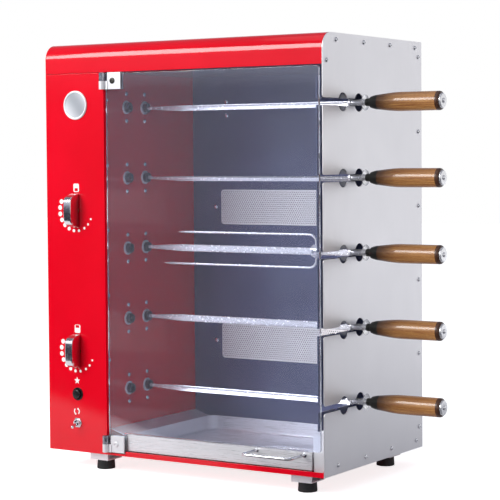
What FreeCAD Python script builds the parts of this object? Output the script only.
import FreeCAD, Part
import math
import os
from FreeCAD import Vector

os.makedirs("parts", exist_ok=True)

# Vertical rotisserie, a gas grill for five skewers. Millimetres, +Z up.
# While it is built, X runs from the left outer face to the right, Y from the front
# plane to the back, and Z up from the surface that the feet stand on.

# How finely round forms are cut into flats
ROUND_SIDES = 16
SEAT_SIDES = 16
SKEWER_SIDES = 10
SMALL_SIDES = 8
WIRE_SIDES = 6
PIPE_SIDES = 6
BEND_STEPS = 3
CORNER_STEPS = 3

# Cabinet
BODY_W = 524.0
BODY_D = 324.0
BODY_H = 665.0
SHEET = 1.5
FOOT_H = 16.0
BRACKET_H = 12.0
PANEL_W = 118.5
HOOD_LIP = 48.0
HOOD_RADIUS = 25.0
HOOD_RETURN = 10.0
REAR_LIP = 16.0
BAY_DEPTH = 254.0
PAN_LIP = 8.0
PAN_STEP = 3.5
PAN_FLANGE = 10.0
PAN_SLOT_TOP = 20.0
PANEL_GAP = 0.5

# Gear train and skewer rows
SOCKET_TEETH = 20
IDLER_TEETH = 26
GEAR_WIDTH = 9.0
PRESSURE_ANGLE = math.radians(20.0)
FLANK_PLAY = 0.15
ROWS = 5
FIRST_ROW = 102.0
LAST_ROW_DOWN = 103.0
FRONT_SEAT = 61.0
MOTOR_IDLER = 1

# Sockets and bearings
SOCKET_D = 16.0
SOCKET_REACH = 8.0
SOCKET_DEPTH = 13.0
BEARING_T = 6.0
RAIL_W = 26.0
RAIL_END = 32.0
IDLER_STUB_D = 8.0
GEAR_GAP = 1.0
RUNNING_PLAY = 0.05
WALL_PLAY = 0.5

# Skewers
BLADE_HALF = 5.8
BLADE_T = 1.6
TANG = 5.0
TANG_PLAY = 0.3
TAPER_START = 3.0
TAPER_LENGTH = 62.0
BLADE_END = 15.0
COLLAR_D = 13.4
COLLAR_T = 4.0
SHANK_D = 10.0
TANG_ROD_D = 9.0
STOP_OUT = 8.5
STOP_D = 25.0
STOP_T = 1.2
STOP_RIM = 3.0
FERRULE_NECK_OUT = 13.0
FERRULE_NECK_L = 8.0
FERRULE_NECK_R = 5.9
FERRULE_SMALL_R = 7.6
FERRULE_BIG_R = 11.4
HANDLE_OUT = 35.0
HANDLE_L = 105.5
HANDLE_R = 14.6
HANDLE_END_R = 12.2
HANDLE_ROUND = 4.0
HANDLE_PLAY = 0.1
END_DISC_R = 11.6
END_DISC_T = 3.0
RIVET_R = 4.0
RIVET_L = 2.5
SKEWER_TURNS = (25.0, 0.0, 0.0, 65.0, 40.0)

# Fork on the middle skewer
FORK_ROW = 2
FORK_WIRE = 4.0
FORK_HALF = 26.0
FORK_BEND = 13.0
FORK_BACK = 74.0
FORK_UPPER_TIP = 66.5
FORK_LOWER_TIP = 38.5
FORK_POINT = 14.0
FORK_COLLAR_D = 20.0
FORK_COLLAR_L = 12.0
FORK_PLAY = 0.3
THUMB_SCREW_D = 6.0
THUMB_SCREW_L = 9.0

# Right side panel and the rest plate behind it
SLOT_H = 11.0
SEAT_HOLE_D = 28.0
SLOT_MOUTH_R = 4.0
REST_GAP = 12.5
REST_FRONT = 8.0
REST_BACK = 132.0
REST_LOW = 68.0
REST_TOP_DOWN = 65.0
SEAT_PLAY = 0.3

# Burners
BURNER_LOW = 165.0
BURNER_TOP_DOWN = 270.5
TILE_LEFT = 178.0
TILE_RIGHT_IN = 60.0
TILE_H = 59.0
TILE_T = 12.0
TILE_PROUD = 1.0
TILE_CORNER = 5.0
TILE_PLAY = 0.3
HOUSING_MARGIN = 7.0
HOUSING_DEPTH = 34.0
HOUSING_WALL = 2.0
MIXER_D = 19.0
MIXER_BORE = 15.0
MIXER_L = 74.0
MIXER_PLAY = 0.5
ELECTRODE_IN = 34.0
ELECTRODE_UP = 40.0
CERAMIC_D = 6.0
CERAMIC_L = 40.0
CERAMIC_OUT = 8.0
SPARK_WIRE = 2.0
SPARK_OUT = 5.0
SPARK_DROP = 14.0
SPARK_BEND = 3.0

# Controls
CONTROL_X = 60.0
KNOB_W = 14.4
KNOB_FRONT_HALF = 19.5
KNOB_BASE_HALF = 28.0
KNOB_DEPTH = 23.0
KNOB_GAP = 1.5
KNOB_EDGE = 1.4
KNOB_HUB_D = 11.0
STEM_D = 8.0
STEM_L = 20.0
STEM_PLAY = 0.3
VALVE_W = 32.0
VALVE_D = 48.0
PANEL_HOLE_D = 13.0
BADGE_D = 47.0
BADGE_T = 2.4
BADGE_RIM = 2.6
BADGE_RECESS = 0.8
BADGE_DOWN = 99.5
BADGE_X = 61.5
BUTTON_Z = 95.0
BUTTON_D = 15.0
BUTTON_BEZEL_D = 21.0
BUTTON_BEZEL_T = 2.0
BUTTON_PROUD = 6.0
BUTTON_TRAVEL = 4.0
BUTTON_INSIDE = 8.0
BUTTON_PLAY = 0.3
IGNITER_D = 18.4
IGNITER_L = 45.0
SWITCH_Z = 47.8
PANEL_PLAY = 0.15
SWITCH_BUSH_D = 12.0
SWITCH_BUSH_BORE = 8.4
SWITCH_NUT_AF = 15.0
SWITCH_NUT_T = 2.5
SWITCH_BUSH_OUT = 6.0
SWITCH_BODY = (14.0, 28.0, 30.0)
LEVER_PIVOT = 3.5
LEVER_BALL_R = 2.7
LEVER_L = 17.0
LEVER_ROOT_R = 1.7
LEVER_TIP_R = 2.9
LEVER_ANGLE = 25.0
LEVER_PLAY = 0.2
LEVER_PIN_D = 1.4

# Gas pipes
SUPPLY_X = 30.0
SUPPLY_Y = 36.0
SUPPLY_D = 10.0
SUPPLY_LOW = 28.0
SUPPLY_BEND = 20.0
INLET_OUT = 18.0
INLET_NUT_D = 18.0
INLET_NUT_L = 8.0
FEED_D = 8.0
FEED_BEND = 15.0
FEED_INTO_MIXER = 4.0

# Gear motor
MOTOR_D = 58.0
MOTOR_L = 40.0
MOTOR_PLATE = 74.0
MOTOR_PLATE_T = 3.0
MOTOR_FACE = 93.0
MOTOR_POST_D = 8.0
MOTOR_POST_OFFSET = 30.0
MOTOR_SHAFT_IN = 14.0

# Glass door and its hinges
GLASS_T = 5.0
GLASS_SET = 0.5
GLASS_LEFT = 122.5
GLASS_RIGHT_IN = 9.5
GLASS_TOP_DOWN = 50.0
GLASS_LOW = 37.5
GLASS_TAB_LOW = 6.0
GLASS_CORNER = 4.0
HINGE_H = 27.0
HINGE_TOP_IN = 12.0
HINGE_LOW = 18.5
KNUCKLE_D = 10.0
KNUCKLE_PLAY = 0.3
PIN_D = 4.0
HINGE_X = 119.5
CLAMP_LEFT = 127.5
CLAMP_RIGHT = 154.0
CLAMP_T = 3.0
CLAMP_ARM_T = 3.0
CLAMP_SCREW_D = 5.0
CLAMP_SCREW_X = 138.0
CLAMP_HEAD_D = 10.0
CLAMP_HEAD_T = 1.5
LEAF_T = 2.0
LEAF_DEPTH = 14.0

# Drip tray and guides
TRAY_LEFT = 155.0
TRAY_RIGHT_IN = 24.0
TRAY_FRONT = 6.2
TRAY_BACK_GAP = 4.0
TRAY_LOW = 9.5
TRAY_H = 25.5
TRAY_WALL = 1.2
TRAY_CORNER = 18.0
TRAY_EDGE = 4.0
TRAY_HANDLE_IN = 57.0
TRAY_HANDLE_W = 85.0
TRAY_HANDLE_OUT = 45.0
TRAY_HANDLE_Z = 31.0
TRAY_WIRE = 4.5
TRAY_WIRE_BEND = 9.0
WELD_PAD_D = 8.0
WELD_PAD_T = 1.5
GUIDE_T = 1.2
GUIDE_LEDGE = 9.0
GUIDE_PLAY = 0.3
GUIDE_GAP = 1.0
GUIDE_FRONT = 12.0
GUIDE_TOP = 31.0
GUIDE_RISE = 42.0
POST_Y = 8.0
POST_TOP = 64.0

# Feet
FOOT_D = 30.0
FOOT_TOP_D = 28.0
FOOT_LEFT = 95.0
FOOT_RIGHT_IN = 46.0
FOOT_FRONT = 28.0
FOOT_REAR_IN = 44.0
BRACKET_W = 36.0
BRACKET_D = 38.0
BRACKET_WALL = 2.0

# Louvres in the rear cover
LOUVRE_W = 46.0
LOUVRE_H = 5.0
LOUVRE_PITCH_X = 74.0
LOUVRE_PITCH_Z = 14.0
LOUVRE_COLUMNS = 5
LOUVRE_LINES = 2
LOUVRE_BOTTOM = 60.0
LOUVRE_TOP_DOWN = 105.0

# Places worked out from the sizes above
BASE_Z = FOOT_H + BRACKET_H
TOP_Z = BASE_Z + BODY_H
SEAM_Z = TOP_Z - HOOD_LIP
ROW_PITCH = (BODY_H - FIRST_ROW - LAST_ROW_DOWN) / (ROWS - 1)
GEAR_MODULE = ROW_PITCH / (SOCKET_TEETH + IDLER_TEETH)
SEAT_SPACING = GEAR_MODULE * SOCKET_TEETH
REAR_SEAT = FRONT_SEAT + SEAT_SPACING
WALL_X = PANEL_W + SHEET
SIDE_X = BODY_W - SHEET
CEILING_Z = SEAM_Z - PANEL_GAP
GEAR_X = PANEL_W - BEARING_T - GEAR_GAP - GEAR_WIDTH
SOCKET_END = WALL_X + SOCKET_REACH
TANG_X = SOCKET_END - SOCKET_DEPTH + 1.0
BLADE_X = SIDE_X - BLADE_END
REST_X = SIDE_X - REST_GAP - SHEET
HINGE_Y = -(KNUCKLE_D / 2 + KNUCKLE_PLAY)
GLASS_BACK = GLASS_SET + GLASS_T
VALVE_BACK = SHEET + VALVE_D
MIXER_Y = BAY_DEPTH + SHEET + HOUSING_DEPTH / 2
HOUSING_LEFT = TILE_LEFT - HOUSING_MARGIN
MIXER_X = HOUSING_LEFT - MIXER_L
HANDLE_X = BODY_W + HANDLE_OUT
REST_HIGH = BODY_H - REST_TOP_DOWN
BURNER_ROWS = (BURNER_LOW, BODY_H - BURNER_TOP_DOWN)
TILE_RIGHT = BODY_W - TILE_RIGHT_IN
ELECTRODE_X = TILE_RIGHT - ELECTRODE_IN
BADGE_Z = BODY_H - BADGE_DOWN
GLASS_RIGHT = BODY_W - GLASS_RIGHT_IN
GLASS_TOP = BODY_H - GLASS_TOP_DOWN
HINGE_TOP = GLASS_TOP - HINGE_TOP_IN
TRAY_RIGHT = BODY_W - TRAY_RIGHT_IN
TRAY_BACK = BAY_DEPTH - TRAY_BACK_GAP
TRAY_HANDLE_X = TRAY_RIGHT - TRAY_HANDLE_IN
FOOT_RIGHT = BODY_W - FOOT_RIGHT_IN
FOOT_REAR = BODY_D - FOOT_REAR_IN

X_AXIS = Vector(1, 0, 0)
Y_AXIS = Vector(0, 1, 0)
Z_AXIS = Vector(0, 0, 1)
PLAY_CUT = 1.0


def row_z(row):
    """Height of a skewer row, counted from the lowest one."""
    return BASE_Z + FIRST_ROW + row * ROW_PITCH


def idler_z(gap):
    """Height of the idler between two rows."""
    return row_z(gap) + ROW_PITCH / 2


def box(low, high):
    size = [b - a for a, b in zip(low, high)]
    return Part.makeBox(*size, Vector(*low))


def around(axis):
    """Two directions square to an axis and to each other."""
    first = Y_AXIS if abs(axis.z) > 0.5 else Z_AXIS
    return first, axis.cross(first)


def corners(centre, axis, radius, sides):
    """Corners of a regular polygon square to an axis."""
    first, second = around(axis)
    places = []
    for k in range(sides):
        angle = (2 * k + 1) * math.pi / sides
        places.append(centre + first * (radius * math.cos(angle)) + second * (radius * math.sin(angle)))
    return places


def facet(places):
    return Part.Face(Part.makePolygon(places + places[:1]))


def rod(diameter, start, axis, length, sides=ROUND_SIDES):
    """Round bar with flats: its corners lie on the stated diameter."""
    return facet(corners(Vector(*start), axis, diameter / 2, sides)).extrude(axis * length)


def bore(diameter, start, axis, length, sides=ROUND_SIDES):
    """Round hole with flats: their middles lie on the stated diameter."""
    radius = diameter / 2 / math.cos(math.pi / sides)
    return facet(corners(Vector(*start), axis, radius, sides)).extrude(axis * length)


def hole(diameter, start, axis, length):
    """Hole in a sheet or rail, a little finer than the bores."""
    return bore(diameter, start, axis, length, SEAT_SIDES)


def pin(diameter, start, axis, length):
    """Truly round pin that a part turns on."""
    return Part.makeCylinder(diameter / 2, length, Vector(*start), axis)


def arc_points(middle, radius, first, last, steps):
    """Points along an arc, angles in degrees, both ends included."""
    points = []
    for k in range(steps + 1):
        angle = math.radians(first + (last - first) * k / steps)
        points.append((middle[0] + radius * math.cos(angle), middle[1] + radius * math.sin(angle)))
    return points


def plate(outline, axis, level, thickness):
    """Flat sheet from an outline in the other two axes, taken in X, Y, Z order."""
    if axis == X_AXIS:
        places = [Vector(level, a, b) for a, b in outline]
    elif axis == Y_AXIS:
        places = [Vector(a, level, b) for a, b in outline]
    else:
        places = [Vector(a, b, level) for a, b in outline]
    return facet(places).extrude(axis * thickness)


def rounded(low, high, radius):
    """Outline of a rectangle with rounded corners."""
    left, bottom = low[0] + radius, low[1] + radius
    right, top = high[0] - radius, high[1] - radius
    return (
        arc_points((left, bottom), radius, 180, 270, CORNER_STEPS)
        + arc_points((right, bottom), radius, 270, 360, CORNER_STEPS)
        + arc_points((right, top), radius, 0, 90, CORNER_STEPS)
        + arc_points((left, top), radius, 90, 180, CORNER_STEPS)
    )


def fuse(shapes):
    """One clean solid from shapes that meet."""
    whole = shapes[0].multiFuse(shapes[1:]) if len(shapes) > 1 else shapes[0]
    return whole.removeSplitter()


def group(shapes):
    """Separate solids that share a node."""
    return Part.makeCompound(shapes)


def polygon(points):
    return Part.Face(Part.makePolygon([Vector(*p) for p in points + points[:1]]))


def solid_from(faces):
    solid = Part.Solid(Part.Shell(faces))
    if solid.Volume < 0:
        solid.reverse()
    return solid


def turned(profile, start, axis, sides=ROUND_SIDES):
    """Turned solid with flats. The profile lists (distance along the axis, radius) and either
    starts and ends on the axis or goes round a ring."""
    steps = list(profile)
    if steps[0][1] > 0:
        steps.append(steps[0])
    faces = []
    for (d0, r0), (d1, r1) in zip(steps, steps[1:]):
        ends = []
        for along, radius in ((d0, r0), (d1, r1)):
            ends.append(corners(Vector(*start) + axis * along, axis, radius, sides))
        if r0 > 0 and r1 > 0 and d0 == d1:
            large, small = (ends[0], ends[1]) if r0 > r1 else (ends[1], ends[0])
            faces.append(facet(large).cut(facet(small)).Faces[0])
        elif r0 > 0 and r1 > 0:
            for k in range(sides):
                n = (k + 1) % sides
                faces.append(facet([ends[0][k], ends[0][n], ends[1][n], ends[1][k]]))
        elif d0 == d1:
            faces.append(facet(ends[0] if r0 > 0 else ends[1]))
        elif r0 > 0 or r1 > 0:
            rim, tip = (ends[0], ends[1][0]) if r0 > 0 else (ends[1], ends[0][0])
            for k in range(sides):
                faces.append(facet([rim[k], rim[(k + 1) % sides], tip]))
    return solid_from(faces)


def swell(start, end, steps):
    """Profile points along a quarter wave, level at its end, without its first point."""
    points = []
    for k in range(1, steps + 1):
        share = k / steps
        points.append(
            (
                start[0] + (end[0] - start[0]) * share,
                start[1] + (end[1] - start[1]) * math.sin(share * math.pi / 2),
            )
        )
    return points


def bent_wire(diameter, points, radius, sides=WIRE_SIDES):
    """Wire with flats along straight runs, with a bend of one radius at each corner."""
    places = [Vector(*p) for p in points]
    path = [places[0]]
    for i in range(1, len(places) - 1):
        back = (places[i - 1] - places[i]).normalize()
        ahead = (places[i + 1] - places[i]).normalize()
        half = back.getAngle(ahead) / 2
        entry = places[i] + back * (radius / math.tan(half))
        middle = places[i] + (back + ahead).normalize() * (radius / math.sin(half))
        out = (entry - middle) / radius
        for k in range(BEND_STEPS + 1):
            angle = (math.pi - 2 * half) * k / BEND_STEPS
            path.append(middle + out * (radius * math.cos(angle)) - back * (radius * math.sin(angle)))
    path.append(places[-1])
    heading = (path[1] - path[0]).normalize()
    ring = corners(path[0], heading, diameter / 2, sides)
    faces = [facet(ring)]
    for i in range(1, len(path)):
        heading = (path[i] - path[i - 1]).normalize()
        leaving = (path[i + 1] - path[i]).normalize() if i + 1 < len(path) else heading
        across = (heading + leaving).normalize()
        following = [p + heading * ((path[i] - p).dot(across) / heading.dot(across)) for p in ring]
        for k in range(sides):
            n = (k + 1) % sides
            faces.append(facet([ring[k], ring[n], following[n], following[k]]))
        ring = following
    faces.append(facet(ring))
    return solid_from(faces)


def arc(middle, radius, first, last, place):
    """Edge along an arc. The function place turns two outline values into a point."""
    ends = arc_points(middle, radius, first, last, 2)
    return Part.Arc(*[place(*p) for p in ends]).toShape()


def sheet_from(edges, thickness):
    return Part.Face(Part.Wire(edges)).extrude(thickness)


def line(a, b):
    return Part.LineSegment(a, b).toShape()


def side_sheet(x):
    """Side sheet with the hood's rounding at its front top corner."""
    r = HOOD_RADIUS

    def at(y, z):
        return Vector(x, y, z)

    edges = [
        line(at(0, BASE_Z), at(0, TOP_Z - r)),
        arc((r, TOP_Z - r), r, 180, 90, at),
        line(at(r, TOP_Z), at(BODY_D, TOP_Z)),
        line(at(BODY_D, TOP_Z), at(BODY_D, BASE_Z)),
        line(at(BODY_D, BASE_Z), at(0, BASE_Z)),
    ]
    return sheet_from(edges, Vector(SHEET, 0, 0))


def left_side_panel():
    return side_sheet(0)


def side_slot(z):
    """Slot open to the front edge, with rounded entry corners, in the right panel."""
    half = SLOT_H / 2
    r = SLOT_MOUTH_R

    def at(y, up):
        return Vector(SIDE_X - PLAY_CUT, y, z + up)

    edges = [
        line(at(-PLAY_CUT, half + r), at(0, half + r)),
        arc((r, half + r), r, 180, 270, at),
        line(at(r, half), at(REAR_SEAT, half)),
        line(at(REAR_SEAT, half), at(REAR_SEAT, -half)),
        line(at(REAR_SEAT, -half), at(r, -half)),
        arc((r, -half - r), r, 90, 180, at),
        line(at(0, -half - r), at(-PLAY_CUT, -half - r)),
        line(at(-PLAY_CUT, -half - r), at(-PLAY_CUT, half + r)),
    ]
    return sheet_from(edges, Vector(SHEET + 2 * PLAY_CUT, 0, 0))


def right_side_panel():
    panel = side_sheet(SIDE_X)
    cuts = []
    for row in range(ROWS):
        z = row_z(row)
        cuts.append(side_slot(z))
        for y in (FRONT_SEAT, REAR_SEAT):
            start = (SIDE_X - PLAY_CUT, y, z)
            cuts.append(hole(SEAT_HOLE_D, start, X_AXIS, SHEET + 2 * PLAY_CUT))
    return panel.cut(cuts[0].multiFuse(cuts[1:]))


def rest_plate():
    """Folded plate inside the right panel, with a round seat at each skewer position."""
    plate = box((REST_X, REST_FRONT, BASE_Z + REST_LOW), (REST_X + SHEET, REST_BACK, BASE_Z + REST_HIGH))
    flange = box(
        (REST_X, REST_BACK - SHEET, BASE_Z + REST_LOW), (SIDE_X, REST_BACK, BASE_Z + REST_HIGH)
    )
    cuts = []
    for row in range(ROWS):
        z = row_z(row)
        cuts.append(
            box(
                (REST_X - PLAY_CUT, REST_FRONT - PLAY_CUT, z - SLOT_H / 2),
                (REST_X + SHEET + PLAY_CUT, REAR_SEAT, z + SLOT_H / 2),
            )
        )
        for y in (FRONT_SEAT, REAR_SEAT):
            seat = COLLAR_D + 2 * SEAT_PLAY
            cuts.append(hole(seat, (REST_X - PLAY_CUT, y, z), X_AXIS, SHEET + 2 * PLAY_CUT))
    return fuse([plate.cut(cuts[0].multiFuse(cuts[1:])), flange])


def hood():
    """Top sheet, rolled down at the front, turned in under the lip and folded at the rear."""
    r = HOOD_RADIUS
    middle = (r, TOP_Z - r)

    def at(y, z):
        return Vector(SHEET, y, z)

    corners_out = [(BODY_D, TOP_Z), (BODY_D, TOP_Z - REAR_LIP), (BODY_D - SHEET, TOP_Z - REAR_LIP)]
    corners_out += [(BODY_D - SHEET, TOP_Z - SHEET), (r, TOP_Z - SHEET)]
    corners_in = [(SHEET, TOP_Z - r), (SHEET, SEAM_Z + SHEET), (HOOD_RETURN, SEAM_Z + SHEET)]
    corners_in += [(HOOD_RETURN, SEAM_Z), (0, SEAM_Z), (0, TOP_Z - r)]
    edges = [arc(middle, r, 180, 90, at), line(at(r, TOP_Z), at(*corners_out[0]))]
    edges += [line(at(*a), at(*b)) for a, b in zip(corners_out, corners_out[1:])]
    edges.append(arc(middle, r - SHEET, 90, 180, at))
    edges += [line(at(*a), at(*b)) for a, b in zip(corners_in, corners_in[1:])]
    return sheet_from(edges, Vector(SIDE_X - SHEET, 0, 0))


def control_panel():
    """Front sheet of the control bay with its folded edge beside the glass."""
    low = BASE_Z
    high = SEAM_Z - PANEL_GAP
    face = box((SHEET, 0, low), (PANEL_W, SHEET, high))
    fold = box((PANEL_W - SHEET, 0, low + 2 * SHEET), (PANEL_W, LEAF_DEPTH, high))
    holes = [hole(PANEL_HOLE_D, (CONTROL_X, -1, BASE_Z + z), Y_AXIS, SHEET + 2) for z in BURNER_ROWS]
    fitted = ((IGNITER_D, BUTTON_Z), (SWITCH_BUSH_D, SWITCH_Z))
    for diameter, z in fitted:
        start = (CONTROL_X, -1, BASE_Z + z)
        holes.append(hole(diameter + 2 * PANEL_PLAY, start, Y_AXIS, SHEET + 2))
    return fuse([face, fold]).cut(holes[0].multiFuse(holes[1:]))


def partition_wall():
    """Wall between the control bay and the cooking bay."""
    wall = box((PANEL_W, 2.0, BASE_Z + SHEET), (WALL_X, BODY_D - SHEET, CEILING_Z))
    start = PANEL_W - PLAY_CUT
    length = SHEET + 2 * PLAY_CUT
    holes = []
    for row in range(ROWS):
        for y in (FRONT_SEAT, REAR_SEAT):
            holes.append(hole(SOCKET_D + 2 * WALL_PLAY, (start, y, row_z(row)), X_AXIS, length))
    for z in BURNER_ROWS:
        holes.append(hole(MIXER_D + 2 * MIXER_PLAY, (start, MIXER_Y, BASE_Z + z), X_AXIS, length))
    return wall.cut(holes[0].multiFuse(holes[1:]))


def tile_block(grow, y0, y1, z):
    """Block with the rounded outline of a radiant tile, seen from the front."""
    low = (TILE_LEFT - grow, z - TILE_H / 2 - grow)
    high = (TILE_RIGHT + grow, z + TILE_H / 2 + grow)
    return plate(rounded(low, high, TILE_CORNER + grow), Y_AXIS, y0, y1 - y0)


def back_wall():
    """Back and ceiling of the cooking bay, one bent sheet with two burner windows."""
    back = box((WALL_X, BAY_DEPTH, BASE_Z + SHEET), (SIDE_X, BAY_DEPTH + SHEET, CEILING_Z + SHEET))
    ceiling = box((PANEL_W, HOOD_RETURN, CEILING_Z), (SIDE_X, BAY_DEPTH + SHEET, CEILING_Z + SHEET))
    windows = [
        tile_block(TILE_PLAY, BAY_DEPTH - 1, BAY_DEPTH + SHEET + 1, BASE_Z + z) for z in BURNER_ROWS
    ]
    rods = []
    for z in BURNER_ROWS:
        start = (ELECTRODE_X, BAY_DEPTH - 1, BASE_Z + z + ELECTRODE_UP)
        rods.append(bore(CERAMIC_D + 2 * TILE_PLAY, start, Y_AXIS, SHEET + 2, SMALL_SIDES))
    return fuse([back, ceiling]).cut(windows[0].multiFuse(windows[1:] + rods))


def rear_cover():
    cover = box((SHEET, BODY_D - SHEET, BASE_Z), (SIDE_X, BODY_D, TOP_Z - REAR_LIP - PANEL_GAP))
    cuts = []
    first_x = BODY_W / 2 - LOUVRE_PITCH_X * (LOUVRE_COLUMNS - 1) / 2 - LOUVRE_W / 2
    for base in (LOUVRE_BOTTOM, BODY_H - LOUVRE_TOP_DOWN):
        for line in range(LOUVRE_LINES):
            for column in range(LOUVRE_COLUMNS):
                x = first_x + column * LOUVRE_PITCH_X
                z = BASE_Z + base + line * LOUVRE_PITCH_Z
                low = (x, BODY_D - SHEET - 1, z)
                cuts.append(box(low, (x + LOUVRE_W, BODY_D + 1, z + LOUVRE_H)))
    pipe = (SUPPLY_X, BODY_D - SHEET - 1, BASE_Z + SUPPLY_LOW)
    cuts.append(hole(SUPPLY_D + 2 * WALL_PLAY, pipe, Y_AXIS, SHEET + 2))
    return cover.cut(cuts[0].multiFuse(cuts[1:]))


def floor_pan():
    """Bottom sheet with upturned edges and the low front lip under the tray."""
    low = BASE_Z
    rear = BODY_D - SHEET
    plate = box((SHEET, SHEET, low), (SIDE_X, rear, low + SHEET))
    lip = box((CLAMP_RIGHT + PLAY_CUT, 0, low), (SIDE_X, SHEET, low + PAN_LIP))
    step = box((PANEL_W, 0, low), (CLAMP_RIGHT + PLAY_CUT, SHEET, low + PAN_STEP))
    left = box((SHEET, LEAF_DEPTH, low), (2 * SHEET, rear, low + PAN_FLANGE))
    right = box((SIDE_X - SHEET, SHEET, low), (SIDE_X, rear, low + PAN_FLANGE))
    back = box((SHEET, rear - SHEET, low), (SIDE_X, rear, low + PAN_FLANGE))
    pan = fuse([plate, lip, step, left, right, back])
    # The partition and the bay's back stand on the plate and pass the flanges through slots.
    slot_low = (PANEL_W - PANEL_GAP, rear - 2 * SHEET, low + SHEET)
    wall_slot = box(slot_low, (WALL_X + PANEL_GAP, rear, low + PAN_SLOT_TOP))
    back_slot = box(
        (SIDE_X - 2 * SHEET, BAY_DEPTH - PANEL_GAP, low + SHEET),
        (SIDE_X, BAY_DEPTH + SHEET + PANEL_GAP, low + PAN_SLOT_TOP),
    )
    return pan.cut(wall_slot.multiFuse([back_slot]))


def involute(angle):
    return math.tan(angle) - angle


def gear_outline(teeth, phase, x):
    """Toothed face whose straight flanks lie just inside the true involute."""
    pitch_r = GEAR_MODULE * teeth / 2
    base_r = pitch_r * math.cos(PRESSURE_ANGLE)
    tip_r = pitch_r + GEAR_MODULE
    root_r = pitch_r - 1.25 * GEAR_MODULE
    half_pitch = math.pi / (2 * teeth) - FLANK_PLAY / pitch_r
    half_base = half_pitch + involute(PRESSURE_ANGLE)
    half_tip = half_base - involute(math.acos(base_r / tip_r))
    points = []
    for tooth in range(teeth):
        middle = phase + tooth * 2 * math.pi / teeth
        for radius, offset in (
            (root_r, -half_base),
            (tip_r, -half_tip),
            (tip_r, half_tip),
            (root_r, half_base),
        ):
            angle = middle + offset
            points.append((x, radius * math.cos(angle), radius * math.sin(angle)))
    return polygon(points)


def gear_at(teeth, phase, y, z):
    blank = gear_outline(teeth, phase, GEAR_X).extrude(Vector(GEAR_WIDTH, 0, 0))
    blank.translate(Vector(0, y, z))
    return blank


def socket_gear(row, y, phase, turn):
    """Drive gear with its socket hub, which runs through the rail and the wall."""
    z = row_z(row)
    teeth = gear_at(SOCKET_TEETH, phase, y, z)
    start = (GEAR_X + GEAR_WIDTH, y, z)
    hub = rod(SOCKET_D, start, X_AXIS, SOCKET_END - GEAR_X - GEAR_WIDTH)
    half = TANG / 2 + TANG_PLAY
    hole = box((SOCKET_END - SOCKET_DEPTH, y - half, z - half), (SOCKET_END + 1, y + half, z + half))
    hole.rotate(Vector(0, y, z), X_AXIS, turn)
    return fuse([teeth, hub]).cut(hole)


def rear_socket_gear(row):
    return socket_gear(row, REAR_SEAT, 0.0, SKEWER_TURNS[row])


def front_socket_gear(row):
    return socket_gear(row, FRONT_SEAT, math.pi / SOCKET_TEETH, 0.0)


def idler_gear(gap):
    """Idler between two rows. One of them is carried on the motor's shaft."""
    z = idler_z(gap)
    phase = math.pi / 2 + math.pi / IDLER_TEETH
    teeth = gear_at(IDLER_TEETH, phase, REAR_SEAT, z)
    start = GEAR_X + GEAR_WIDTH
    pieces = [teeth, rod(IDLER_STUB_D, (start, REAR_SEAT, z), X_AXIS, PANEL_W - start)]
    if gap == MOTOR_IDLER:
        inside = MOTOR_FACE - MOTOR_SHAFT_IN
        pieces.append(rod(IDLER_STUB_D, (inside, REAR_SEAT, z), X_AXIS, GEAR_X - inside))
    return fuse(pieces)


def bearing_rails():
    """Two upright rails on the control bay's side of the wall, bored for all the spindles."""
    x = PANEL_W - BEARING_T
    rails = []
    for y in (FRONT_SEAT, REAR_SEAT):
        low = row_z(0) - RAIL_END
        high = row_z(ROWS - 1) + RAIL_END
        rail = box((x, y - RAIL_W / 2, low), (PANEL_W, y + RAIL_W / 2, high))
        holes = []
        for row in range(ROWS):
            start = (x - 1, y, row_z(row))
            holes.append(hole(SOCKET_D + 2 * RUNNING_PLAY, start, X_AXIS, BEARING_T + 2))
        if y == REAR_SEAT:
            for gap in range(ROWS - 1):
                start = (x - 1, y, idler_z(gap))
                holes.append(hole(IDLER_STUB_D + 2 * RUNNING_PLAY, start, X_AXIS, BEARING_T + 2))
        rails.append(rail.cut(holes[0].multiFuse(holes[1:])))
    return group(rails)


def gear_motor():
    """Gear motor on a square plate, held off the wall by four posts."""
    z = idler_z(MOTOR_IDLER)
    half = MOTOR_PLATE / 2
    plate = box(
        (MOTOR_FACE - MOTOR_PLATE_T, REAR_SEAT - half, z - half), (MOTOR_FACE, REAR_SEAT + half, z + half)
    )
    can = rod(MOTOR_D, (MOTOR_FACE - MOTOR_PLATE_T - MOTOR_L, REAR_SEAT, z), X_AXIS, MOTOR_L)
    cap = rod(MOTOR_D * 0.62, (MOTOR_FACE - MOTOR_PLATE_T - MOTOR_L - 8, REAR_SEAT, z), X_AXIS, 8)
    pieces = [plate, can, cap]
    for dy in (-MOTOR_POST_OFFSET, MOTOR_POST_OFFSET):
        for dz in (-MOTOR_POST_OFFSET, MOTOR_POST_OFFSET):
            start = (MOTOR_FACE, REAR_SEAT + dy, z + dz)
            pieces.append(rod(MOTOR_POST_D, start, X_AXIS, PANEL_W - MOTOR_FACE))
    depth = MOTOR_SHAFT_IN + 1
    start = (MOTOR_FACE - depth, REAR_SEAT, z)
    return fuse(pieces).cut(bore(IDLER_STUB_D + 2 * RUNNING_PLAY, start, X_AXIS, depth + 1))


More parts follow.
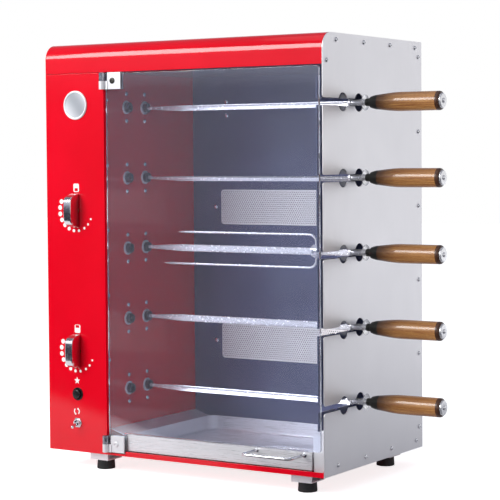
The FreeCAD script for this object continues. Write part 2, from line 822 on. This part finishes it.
def burner_housings():
    """Shallow boxes behind the back wall, each with its mixing tube into the control bay."""
    front = BAY_DEPTH + SHEET
    boxes = []
    for row in BURNER_ROWS:
        z = BASE_Z + row
        m = HOUSING_MARGIN
        outer = box(
            (HOUSING_LEFT, front, z - TILE_H / 2 - m),
            (TILE_RIGHT + m, front + HOUSING_DEPTH, z + TILE_H / 2 + m),
        )
        inner = box(
            (HOUSING_LEFT + HOUSING_WALL, front + TILE_T, z - TILE_H / 2 - m + HOUSING_WALL),
            (
                TILE_RIGHT + m - HOUSING_WALL,
                front + HOUSING_DEPTH - HOUSING_WALL,
                z + TILE_H / 2 + m - HOUSING_WALL,
            ),
        )
        mouth = tile_block(TILE_PLAY / 2, front - 1, front + TILE_T, z)
        tube = rod(MIXER_D, (MIXER_X, MIXER_Y, z), X_AXIS, MIXER_L)
        throat = bore(MIXER_BORE, (MIXER_X - 1, MIXER_Y, z), X_AXIS, MIXER_L + HOUSING_WALL + 2)
        boxes.append(fuse([outer.cut(inner.multiFuse([mouth])), tube]).cut(throat))
    return group(boxes)


def burner_tiles():
    """Perforated ceramic plates that glow, standing a little proud of the wall."""
    front = BAY_DEPTH - TILE_PROUD
    back = BAY_DEPTH + SHEET + TILE_T
    return group([tile_block(0.0, front, back, BASE_Z + z) for z in BURNER_ROWS])


def gas_valves():
    valves = []
    for row in BURNER_ROWS:
        z = BASE_Z + row
        half = VALVE_W / 2
        body = box((CONTROL_X - half, SHEET, z - half), (CONTROL_X + half, VALVE_BACK, z + half))
        nose = rod(PANEL_HOLE_D - 2 * WALL_PLAY, (CONTROL_X, 0, z), Y_AXIS, SHEET)
        depth = STEM_L + KNOB_GAP
        seat = bore(STEM_D + 2 * STEM_PLAY, (CONTROL_X, -1, z), Y_AXIS, depth + 1)
        valves.append(fuse([body, nose]).cut(seat))
    return group(valves)


def gas_pipes():
    """Supply pipe from the rear inlet to both valves, and a feed tube to each burner."""
    low = BASE_Z + SUPPLY_LOW
    high = BASE_Z + BURNER_ROWS[-1] + SUPPLY_D
    points = [
        (SUPPLY_X, SUPPLY_Y, high),
        (SUPPLY_X, SUPPLY_Y, low),
        (SUPPLY_X, BODY_D, low),
    ]
    pipe = bent_wire(SUPPLY_D, points, SUPPLY_BEND, PIPE_SIDES)
    nut = rod(INLET_NUT_D, (SUPPLY_X, BODY_D, low), Y_AXIS, INLET_NUT_L, 6)
    end = Vector(SUPPLY_X, BODY_D + INLET_NUT_L, low)
    spigot = Part.makeCylinder(SUPPLY_D / 2, INLET_OUT - INLET_NUT_L, end, Y_AXIS)
    stubs = []
    feeds = []
    for row in BURNER_ROWS:
        z = BASE_Z + row
        reach = CONTROL_X - VALVE_W / 2 - SUPPLY_X
        stubs.append(rod(FEED_D, (SUPPLY_X, SUPPLY_Y, z), X_AXIS, reach, PIPE_SIDES))
        turn = [
            (CONTROL_X, VALVE_BACK, z),
            (CONTROL_X, MIXER_Y, z),
            (MIXER_X + FEED_INTO_MIXER, MIXER_Y, z),
        ]
        feeds.append(bent_wire(FEED_D, turn, FEED_BEND, PIPE_SIDES))
    return group([fuse([pipe, nut, spigot] + stubs)] + feeds)


def panel_switches():
    """Igniter body with its bezel, motor switch body with its bush and nut, spark rods."""
    z = BASE_Z + BUTTON_Z
    igniter = fuse(
        [
            rod(IGNITER_D, (CONTROL_X, 0, z), Y_AXIS, IGNITER_L),
            rod(BUTTON_BEZEL_D, (CONTROL_X, -BUTTON_BEZEL_T, z), Y_AXIS, BUTTON_BEZEL_T),
        ]
    )
    depth = BUTTON_BEZEL_T + BUTTON_INSIDE + BUTTON_TRAVEL + 2
    igniter = igniter.cut(
        bore(BUTTON_D + 2 * BUTTON_PLAY, (CONTROL_X, -BUTTON_BEZEL_T, z), Y_AXIS, depth)
    )
    z = BASE_Z + SWITCH_Z
    width, deep, tall = SWITCH_BODY
    across = 2 * SWITCH_NUT_AF / math.sqrt(3)
    case_low = (CONTROL_X - width / 2, SHEET, z - tall / 2)
    case_high = (CONTROL_X + width / 2, SHEET + deep, z + tall / 2)
    switch = fuse(
        [
            box(case_low, case_high),
            rod(SWITCH_BUSH_D, (CONTROL_X, -SWITCH_BUSH_OUT, z), Y_AXIS, SWITCH_BUSH_OUT + SHEET),
            rod(across, (CONTROL_X, -SWITCH_NUT_T, z), Y_AXIS, SWITCH_NUT_T, 6),
        ]
    )
    bore_depth = SWITCH_BUSH_OUT - LEVER_PIVOT + LEVER_BALL_R + LEVER_PLAY
    switch = switch.cut(bore(SWITCH_BUSH_BORE, (CONTROL_X, -SWITCH_BUSH_OUT, z), Y_AXIS, bore_depth))
    pin_half = SWITCH_BUSH_BORE / 2 + 0.5
    pin_start = (CONTROL_X - pin_half, -LEVER_PIVOT, z)
    switch = fuse([switch, pin(LEVER_PIN_D, pin_start, X_AXIS, 2 * pin_half)])
    pieces = [igniter, switch]
    for row in BURNER_ROWS:
        high = BASE_Z + row + ELECTRODE_UP
        front = BAY_DEPTH - CERAMIC_OUT
        ceramic = rod(CERAMIC_D, (ELECTRODE_X, front, high), Y_AXIS, CERAMIC_L, SMALL_SIDES)
        tip = front - SPARK_OUT
        points = [
            (ELECTRODE_X, front + 1, high),
            (ELECTRODE_X, tip, high),
            (ELECTRODE_X, tip, high - SPARK_DROP),
        ]
        pieces.append(fuse([ceramic, bent_wire(SPARK_WIRE, points, SPARK_BEND, 4)]))
    return group(pieces)


def knob(row):
    """Fin shaped knob with sloping ends, its hub and the stem that enters the valve."""
    z = BASE_Z + row
    back = -KNOB_GAP
    front = back - KNOB_DEPTH
    left = CONTROL_X - KNOB_W / 2
    fin = polygon(
        [
            (left, back, z - KNOB_BASE_HALF),
            (left, front, z - KNOB_FRONT_HALF),
            (left, front, z + KNOB_FRONT_HALF),
            (left, back, z + KNOB_BASE_HALF),
        ]
    ).extrude(Vector(KNOB_W, 0, 0))
    edges = [e for e in fin.Edges if e.CenterOfMass.y < back - 1]
    fin = fin.makeChamfer(KNOB_EDGE, edges)
    hub = rod(KNOB_HUB_D, (CONTROL_X, back - 2, z), Y_AXIS, 2 + KNOB_GAP / 2)
    stem = rod(STEM_D, (CONTROL_X, back - 2, z), Y_AXIS, 2 + STEM_L)
    return fuse([fin, hub, stem])


def igniter_button():
    radius = BUTTON_D / 2
    length = BUTTON_PROUD + BUTTON_INSIDE
    profile = [(0, 0), (0, radius - 1.5), (0.5, radius - 0.5), (1.5, radius), (length, radius), (length, 0)]
    return turned(profile, (CONTROL_X, -BUTTON_PROUD, BASE_Z + BUTTON_Z), Y_AXIS)


def switch_lever():
    """Flared lever with a rounded end, tipped down at rest, on a ball in the bush."""
    z = BASE_Z + SWITCH_Z
    flare_end = LEVER_L - LEVER_TIP_R
    profile = [
        (-LEVER_BALL_R, 0),
        (-LEVER_BALL_R, LEVER_BALL_R * 0.4),
        (-LEVER_BALL_R * 0.4, LEVER_BALL_R),
        (LEVER_BALL_R * 0.4, LEVER_BALL_R),
        (LEVER_BALL_R, LEVER_ROOT_R),
        (flare_end, LEVER_TIP_R),
        (flare_end + LEVER_TIP_R * 0.65, LEVER_TIP_R * 0.76),
        (LEVER_L, LEVER_TIP_R * 0.3),
        (LEVER_L, 0),
    ]
    lever = turned(profile, (CONTROL_X, -LEVER_PIVOT, z), Vector(0, -1, 0), SMALL_SIDES)
    lever.rotate(Vector(CONTROL_X, -LEVER_PIVOT, z), X_AXIS, LEVER_ANGLE)
    start = (CONTROL_X - LEVER_BALL_R - 1, -LEVER_PIVOT, z)
    eye = bore(LEVER_PIN_D + 2 * RUNNING_PLAY, start, X_AXIS, 2 * LEVER_BALL_R + 2, SMALL_SIDES)
    return lever.cut(eye)


def badge_disc():
    """Round plate with a raised rim, left bare."""
    r = BADGE_D / 2
    face = BADGE_T - BADGE_RECESS
    profile = [
        (0, 0),
        (0, r),
        (BADGE_T - 0.6, r),
        (BADGE_T, r - 0.8),
        (BADGE_T, r - BADGE_RIM + 0.6),
        (face, r - BADGE_RIM),
        (face, 0),
    ]
    return turned(profile, (BADGE_X, 0, BASE_Z + BADGE_Z), Vector(0, -1, 0), SEAT_SIDES)


def hinge_brackets():
    """Fixed halves of the hinges: a leaf on the wall, the upper knuckle and its pin."""
    brackets = []
    for centre in (HINGE_LOW, HINGE_TOP):
        z = BASE_Z + centre
        half = HINGE_H / 2
        low = z + KNUCKLE_PLAY / 2
        high = z + half
        knuckle = rod(KNUCKLE_D, (HINGE_X, HINGE_Y, low), Z_AXIS, high - low)
        leaf = box((WALL_X, HINGE_Y, low), (WALL_X + LEAF_T, LEAF_DEPTH, high))
        core = pin(PIN_D, (HINGE_X, HINGE_Y, z - half), Z_AXIS, HINGE_H)
        brackets.append(fuse([knuckle, leaf, core]))
    return group(brackets)


def door_clamps():
    """Moving halves of the hinges: knuckle, arm, plates on both faces of the glass, screw."""
    pieces = []
    for centre in (HINGE_LOW, HINGE_TOP):
        z = BASE_Z + centre
        half = HINGE_H / 2
        low = z - half
        high = z - KNUCKLE_PLAY / 2
        knuckle = rod(KNUCKLE_D, (HINGE_X, HINGE_Y, low), Z_AXIS, high - low)
        front = GLASS_SET - CLAMP_T
        arm = box((HINGE_X, front - CLAMP_ARM_T / 2, low), (CLAMP_LEFT + 2, front + CLAMP_ARM_T / 2, high))
        plate = box((CLAMP_LEFT, front, low), (CLAMP_RIGHT, GLASS_SET, z + half))
        pin_hole = bore(PIN_D + 2 * RUNNING_PLAY, (HINGE_X, HINGE_Y, low - 1), Z_AXIS, HINGE_H + 2)
        middle = CLAMP_SCREW_X
        head_r = CLAMP_HEAD_D / 2
        through = GLASS_BACK + 3 * CLAMP_T
        screw_hole = rod(CLAMP_SCREW_D, (middle, front - 1, z), Y_AXIS, through, SMALL_SIDES)
        pieces.append(fuse([knuckle, arm, plate]).cut(pin_hole).cut(screw_hole))
        back = box((CLAMP_LEFT, GLASS_BACK, low), (CLAMP_RIGHT, GLASS_BACK + CLAMP_T, z + half))
        pieces.append(back.cut(screw_hole))
        dome = [(0, 0), (0, head_r), (-CLAMP_HEAD_T / 2, head_r)]
        dome += [(-CLAMP_HEAD_T, head_r * 0.7), (-CLAMP_HEAD_T, 0)]
        head = turned(dome, (middle, front, z), Y_AXIS, SMALL_SIDES)
        shank = rod(CLAMP_SCREW_D, (middle, front, z), Y_AXIS, GLASS_BACK - front + CLAMP_T, SMALL_SIDES)
        pieces.append(fuse([head, shank]))
    return group(pieces)


def door_glass():
    """Pane with a tab at the lower hinge, cut away above the tray so that it can slide."""
    r = GLASS_CORNER
    low = BASE_Z + GLASS_LOW
    high = BASE_Z + GLASS_TOP
    outline = [(GLASS_LEFT, high), (GLASS_LEFT, BASE_Z + GLASS_TAB_LOW)]
    outline += [(CLAMP_RIGHT, BASE_Z + GLASS_TAB_LOW), (CLAMP_RIGHT, low)]
    outline += arc_points((GLASS_RIGHT - r, low + r), r, 270, 360, CORNER_STEPS)
    outline += arc_points((GLASS_RIGHT - r, high - r), r, 0, 90, CORNER_STEPS)
    pane = plate(outline, Y_AXIS, GLASS_SET, GLASS_T)
    holes = []
    for centre in (HINGE_LOW, HINGE_TOP):
        start = (CLAMP_SCREW_X, GLASS_SET - 1, BASE_Z + centre)
        holes.append(bore(CLAMP_SCREW_D + 2 * WALL_PLAY, start, Y_AXIS, GLASS_T + 2, SMALL_SIDES))
    return pane.cut(holes[0].multiFuse(holes[1:]))


def tray_block(inset, low, high):
    """Block with rounded corners and a sloping lower edge, shrunk all round by an inset."""
    left, front = TRAY_LEFT + inset, TRAY_FRONT + inset
    right, back = TRAY_RIGHT - inset, TRAY_BACK - inset
    radius = TRAY_CORNER - inset
    edge = TRAY_EDGE
    foot = rounded((left + edge, front + edge), (right - edge, back - edge), radius - edge)
    wide = rounded((left, front), (right, back), radius)
    lower = [Vector(x, y, low) for x, y in foot]
    upper = [Vector(x, y, low + edge) for x, y in wide]
    faces = [facet(lower)]
    for k in range(len(lower)):
        n = (k + 1) % len(lower)
        faces.append(facet([lower[k], lower[n], upper[n], upper[k]]))
    faces.append(facet(upper))
    return fuse([solid_from(faces), plate(wide, Z_AXIS, low + edge, high - low - edge)])


def drip_tray():
    """Pressed tray with rounded corners and a rounded bottom edge."""
    low = BASE_Z + TRAY_LOW
    high = low + TRAY_H
    return tray_block(0, low, high).cut(tray_block(TRAY_WALL, low + TRAY_WALL, high + 1))


def tray_handle():
    """Wire handle on two weld pads, level with the upper part of the tray's face."""
    z = BASE_Z + TRAY_HANDLE_Z
    left = TRAY_HANDLE_X - TRAY_HANDLE_W / 2
    right = TRAY_HANDLE_X + TRAY_HANDLE_W / 2
    out = TRAY_FRONT - TRAY_HANDLE_OUT
    points = [(left, TRAY_FRONT, z), (left, out, z), (right, out, z), (right, TRAY_FRONT, z)]
    wire = bent_wire(TRAY_WIRE, points, TRAY_WIRE_BEND)
    pads = [
        rod(WELD_PAD_D, (x, TRAY_FRONT - WELD_PAD_T, z), Y_AXIS, WELD_PAD_T, SMALL_SIDES)
        for x in (left, right)
    ]
    return fuse([wire] + pads)


def guide_section(edge, wall, far):
    """Outline of a guide: foot, upright beside the tray, ledge under it and a drip slope."""
    t = GUIDE_T
    side = 1 if far > wall else -1
    z0 = BASE_Z + SHEET
    ledge_top = BASE_Z + TRAY_LOW - GUIDE_PLAY
    top = BASE_Z + GUIDE_TOP
    rise = BASE_Z + GUIDE_RISE
    foot = [(far, z0), (wall, z0), (wall, z0 + t), (far, z0 + t)]
    upright = [(wall, z0), (wall + side * t, z0), (wall + side * t, top), (wall, top)]
    ledge_wall = wall + side * t
    ledge = [(edge, ledge_top - t), (ledge_wall, ledge_top - t)]
    ledge += [(ledge_wall, ledge_top), (edge, ledge_top)]
    slope = [(wall, top - t), (far, rise - t), (far, rise), (wall, top)]
    return foot, upright, ledge, slope


def tray_guides():
    """Folded guides on both sides of the tray. The right one ends in a front post."""
    guides = []
    left_wall = TRAY_LEFT - GUIDE_GAP
    right_wall = TRAY_RIGHT + GUIDE_GAP
    for edge, wall, far in (
        (TRAY_LEFT + GUIDE_LEDGE, left_wall, WALL_X),
        (TRAY_RIGHT - GUIDE_LEDGE, right_wall, SIDE_X - SHEET),
    ):
        strips = []
        for outline in guide_section(edge, wall, far):
            face = polygon([(x, GUIDE_FRONT, z) for x, z in outline])
            strips.append(face.extrude(Vector(0, BAY_DEPTH - GUIDE_FRONT, 0)))
        guides.append(fuse(strips))
    post = box((right_wall, POST_Y, BASE_Z + SHEET), (SIDE_X - SHEET, POST_Y + GUIDE_T, BASE_Z + POST_TOP))
    tie_low = (SIDE_X - SHEET - 6, POST_Y, BASE_Z + SHEET)
    tie = box(tie_low, (SIDE_X - SHEET, GUIDE_FRONT, BASE_Z + SHEET + GUIDE_T))
    guides[1] = fuse([guides[1], post, tie])
    return group(guides)


def foot_places():
    return [(x, y) for x in (FOOT_LEFT, FOOT_RIGHT) for y in (FOOT_FRONT, FOOT_REAR)]


def rubber_feet():
    r_low = FOOT_D / 2
    r_top = FOOT_TOP_D / 2
    profile = [(0, 0), (0, r_low - 1), (1, r_low), (FOOT_H, r_top), (FOOT_H, 0)]
    return group([turned(profile, (x, y, 0), Z_AXIS) for x, y in foot_places()])


def foot_brackets():
    """Short channels between the feet and the pan, open at their left and right ends."""
    w = BRACKET_WALL
    brackets = []
    for x, y in foot_places():
        outer = box(
            (x - BRACKET_W / 2, y - BRACKET_D / 2, FOOT_H), (x + BRACKET_W / 2, y + BRACKET_D / 2, BASE_Z)
        )
        inner = box(
            (x - BRACKET_W / 2 - 1, y - BRACKET_D / 2 + w, FOOT_H + w),
            (x + BRACKET_W / 2 + 1, y + BRACKET_D / 2 - w, BASE_Z - w),
        )
        brackets.append(outer.cut(inner))
    return group(brackets)


def blade_section(scale, x):
    """Folded V section around the skewer's axis."""
    half = BLADE_HALF * scale
    fold = BLADE_T * math.sqrt(2) * scale
    apex = half * 0.44
    skin = BLADE_T / math.sqrt(2) * scale
    points = [
        (x, apex, 0),
        (x, apex - half, half),
        (x, apex - half - skin, half - skin),
        (x, apex - fold, 0),
        (x, apex - half - skin, skin - half),
        (x, apex - half, -half),
    ]
    return Part.makePolygon([Vector(*p) for p in points + points[:1]])


def skewer(row):
    """Drive tang, tapered and straight V blade, collar, shank, dished stop and tail rod."""
    z = row_z(row)
    taper_x = SOCKET_END + TAPER_START
    full_x = taper_x + TAPER_LENGTH
    tang = box((TANG_X, -TANG / 2, -TANG / 2), (taper_x + 3, TANG / 2, TANG / 2))
    taper = Part.makeLoft([blade_section(0.5, taper_x), blade_section(1.0, full_x)], True, True)
    blade = Part.Face(blade_section(1.0, full_x)).extrude(Vector(BLADE_X - full_x, 0, 0))
    collar_end = BLADE_X + COLLAR_T
    end = HANDLE_X + HANDLE_L
    stop_x = BODY_W + STOP_OUT
    rim_r = STOP_D / 2
    journal = SHANK_D / 2
    tail = TANG_ROD_D / 2
    turned_part = turned(
        [
            (BLADE_X, 0),
            (BLADE_X, COLLAR_D / 2),
            (collar_end, COLLAR_D / 2),
            (collar_end, journal),
            (stop_x, journal),
            (stop_x, rim_r - STOP_RIM),
            (stop_x + STOP_RIM * 0.5, rim_r),
            (stop_x + STOP_RIM, rim_r),
            (stop_x + STOP_T, rim_r - STOP_RIM),
            (stop_x + STOP_T, journal),
            (HANDLE_X - 2, journal),
            (HANDLE_X - 2, tail),
            (end, tail),
            (end, END_DISC_R),
            (end + END_DISC_T * 0.5, END_DISC_R),
            (end + END_DISC_T, END_DISC_R - 2),
            (end + END_DISC_T, RIVET_R),
            (end + END_DISC_T + RIVET_L, RIVET_R * 0.6),
            (end + END_DISC_T + RIVET_L, 0),
        ],
        (0, 0, 0),
        X_AXIS,
        SKEWER_SIDES,
    )
    whole = fuse([tang, taper, blade, turned_part])
    whole.rotate(Vector(0, 0, 0), X_AXIS, SKEWER_TURNS[row])
    whole.translate(Vector(0, REAR_SEAT, z))
    return whole


def ferrule(row):
    """Dark bolster between the shank and the wooden grip."""
    start = BODY_W + FERRULE_NECK_OUT
    hole = SHANK_D / 2 + HANDLE_PLAY
    cone = start + FERRULE_NECK_L
    profile = [(start, hole), (start, FERRULE_NECK_R), (cone, FERRULE_NECK_R), (cone, FERRULE_SMALL_R)]
    profile += swell(profile[-1], (HANDLE_X, FERRULE_BIG_R), 3)
    profile += [(HANDLE_X, hole)]
    return turned(profile, (0, REAR_SEAT, row_z(row)), X_AXIS)


def handle(row):
    """Turned wooden grip: it swells from the ferrule, runs nearly straight and rounds off."""
    start = HANDLE_X
    hole = TANG_ROD_D / 2 + HANDLE_PLAY
    end = start + HANDLE_L
    profile = [(start, hole), (start, FERRULE_BIG_R)]
    profile += swell(profile[-1], (start + HANDLE_L * 0.38, HANDLE_R), 3)
    profile += [(end - HANDLE_ROUND, HANDLE_R), (end, HANDLE_END_R), (end, hole)]
    return turned(profile, (0, REAR_SEAT, row_z(row)), X_AXIS)


def fork():
    """Wire fork on a collar that slides along the blade and is held by a thumb screw."""
    z = row_z(FORK_ROW)
    back_x = SIDE_X - FORK_BACK
    y = REAR_SEAT
    inside = COLLAR_D + 2 * FORK_PLAY
    place = (back_x - FORK_COLLAR_L / 2, y, z)
    collar = rod(FORK_COLLAR_D, place, X_AXIS, FORK_COLLAR_L)
    collar = collar.cut(bore(inside, place, X_AXIS, FORK_COLLAR_L))
    start = (FORK_COLLAR_D + inside) / 4
    pieces = [collar]
    for side, reach in ((1, FORK_UPPER_TIP), (-1, FORK_LOWER_TIP)):
        tip = WALL_X + reach + FORK_POINT
        level = z + side * FORK_HALF
        points = [(back_x, y, z + side * start), (back_x, y, level), (tip, y, level)]
        pieces.append(bent_wire(FORK_WIRE, points, FORK_BEND))
        point = [(-1, 0), (-1, FORK_WIRE / 2), (0, FORK_WIRE / 2), (FORK_POINT, 0)]
        pieces.append(turned(point, (tip, y, level), Vector(-1, 0, 0), WIRE_SIDES))
    start = (back_x, y - FORK_COLLAR_D / 2 - THUMB_SCREW_L, z)
    pieces.append(rod(THUMB_SCREW_D, start, Y_AXIS, THUMB_SCREW_L + 1, SMALL_SIDES))
    return fuse(pieces)


def all_pieces():
    pieces = {
        "hood": hood(),
        "control_panel": control_panel(),
        "left_side_panel": left_side_panel(),
        "partition_wall": partition_wall(),
        "right_side_panel": right_side_panel(),
        "rest_plate": rest_plate(),
        "back_wall": back_wall(),
        "rear_cover": rear_cover(),
        "floor_pan": floor_pan(),
        "burner_housings": burner_housings(),
        "burner_tiles": burner_tiles(),
        "gas_valves": gas_valves(),
        "gas_pipes": gas_pipes(),
        "panel_switches": panel_switches(),
        "gear_motor": gear_motor(),
        "bearing_rails": bearing_rails(),
        "hinge_brackets": hinge_brackets(),
        "badge_disc": badge_disc(),
        "rubber_feet": rubber_feet(),
        "foot_brackets": foot_brackets(),
        "tray_guides": tray_guides(),
        "door_glass": door_glass(),
        "door_clamps": door_clamps(),
        "drip_tray": drip_tray(),
        "tray_handle": tray_handle(),
        "knob_upper": knob(BURNER_ROWS[1]),
        "knob_lower": knob(BURNER_ROWS[0]),
        "igniter_button": igniter_button(),
        "switch_lever": switch_lever(),
        "fork": fork(),
    }
    for row in range(ROWS):
        number = row + 1
        pieces["rear_drive_%d" % number] = rear_socket_gear(row)
        pieces["front_drive_%d" % number] = front_socket_gear(row)
        pieces["skewer_%d" % number] = skewer(row)
        pieces["ferrule_%d" % number] = ferrule(row)
        pieces["handle_%d" % number] = handle(row)
    for gap in range(ROWS - 1):
        pieces["idler_%d" % (gap + 1)] = idler_gear(gap)
    return pieces


def main():
    pieces = all_pieces()
    # The part's origin is the middle of its whole footprint, on the surface it stands on.
    reach = Part.makeCompound(list(pieces.values())).optimalBoundingBox(False)
    middle_x = (reach.XMin + reach.XMax) / 2
    middle_y = (reach.YMin + reach.YMax) / 2
    print("shift", -middle_x, -middle_y, "reach", reach)
    for name, shape in sorted(pieces.items()):
        shape.translate(Vector(-middle_x, -middle_y, 0))
        print(name, len(shape.Solids), shape.isValid(), round(shape.Volume))
        shape.exportStep("parts/%s.step" % name)


main()
